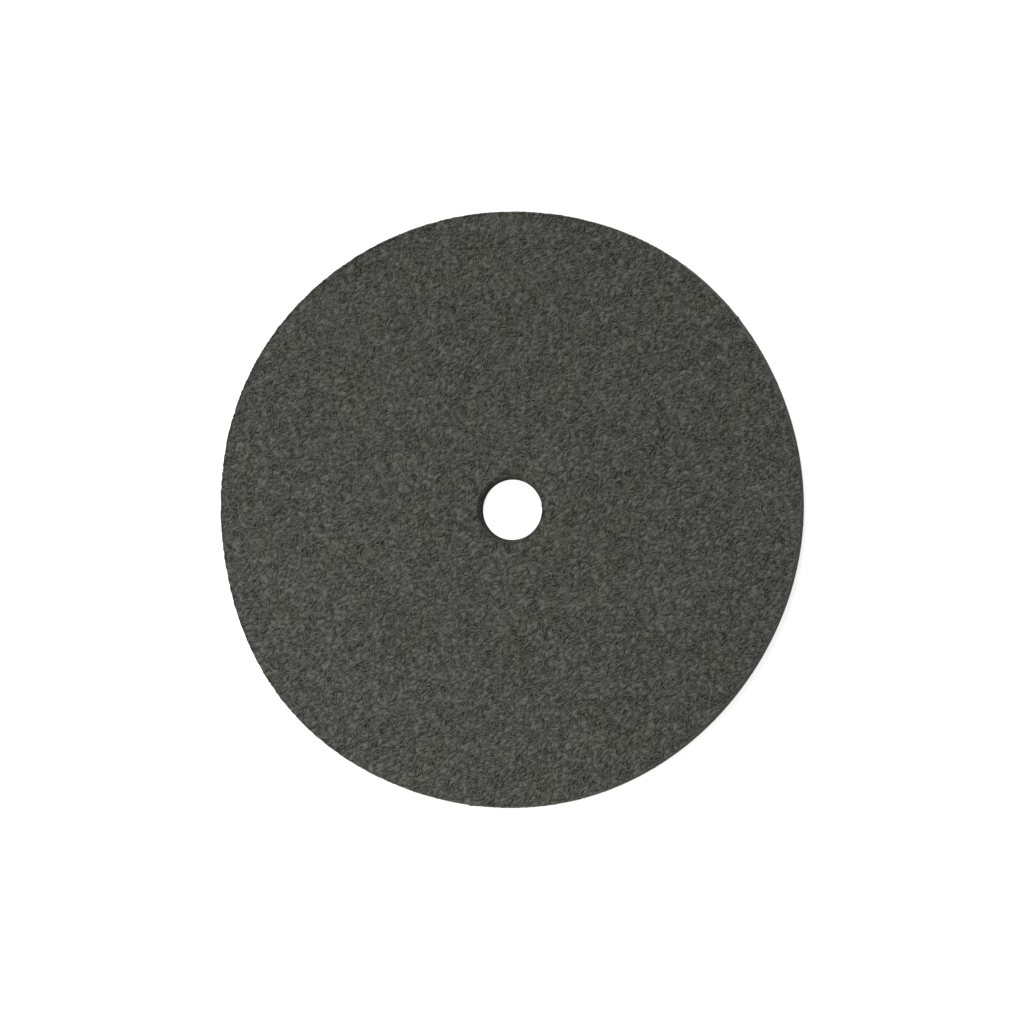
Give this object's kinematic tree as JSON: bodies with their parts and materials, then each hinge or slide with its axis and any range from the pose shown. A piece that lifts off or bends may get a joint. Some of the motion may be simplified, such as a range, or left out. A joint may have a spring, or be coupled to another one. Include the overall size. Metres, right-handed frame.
{
  "type": "surface conditioning disc",
  "caption": "Thin round pad of matted abrasive nylon web with a punched arbor hole, for cleaning and blending metal on a grinder or sander.",
  "frame": {"origin": "centre of the arbor hole on the back face, which the disc lies on", "axes": "+Z out of the working face, along the arbor axis; +X and +Y in the plane of the disc, +Y towards the top of the picture"},
  "size_m": [0.1267, 0.1267, 0.003],
  "materials": {
    "abrasive_web": "matte"
  },
  "bodies": {
    "root": {"conditioning_disc": "abrasive_web"}
  },
  "joints": []
}
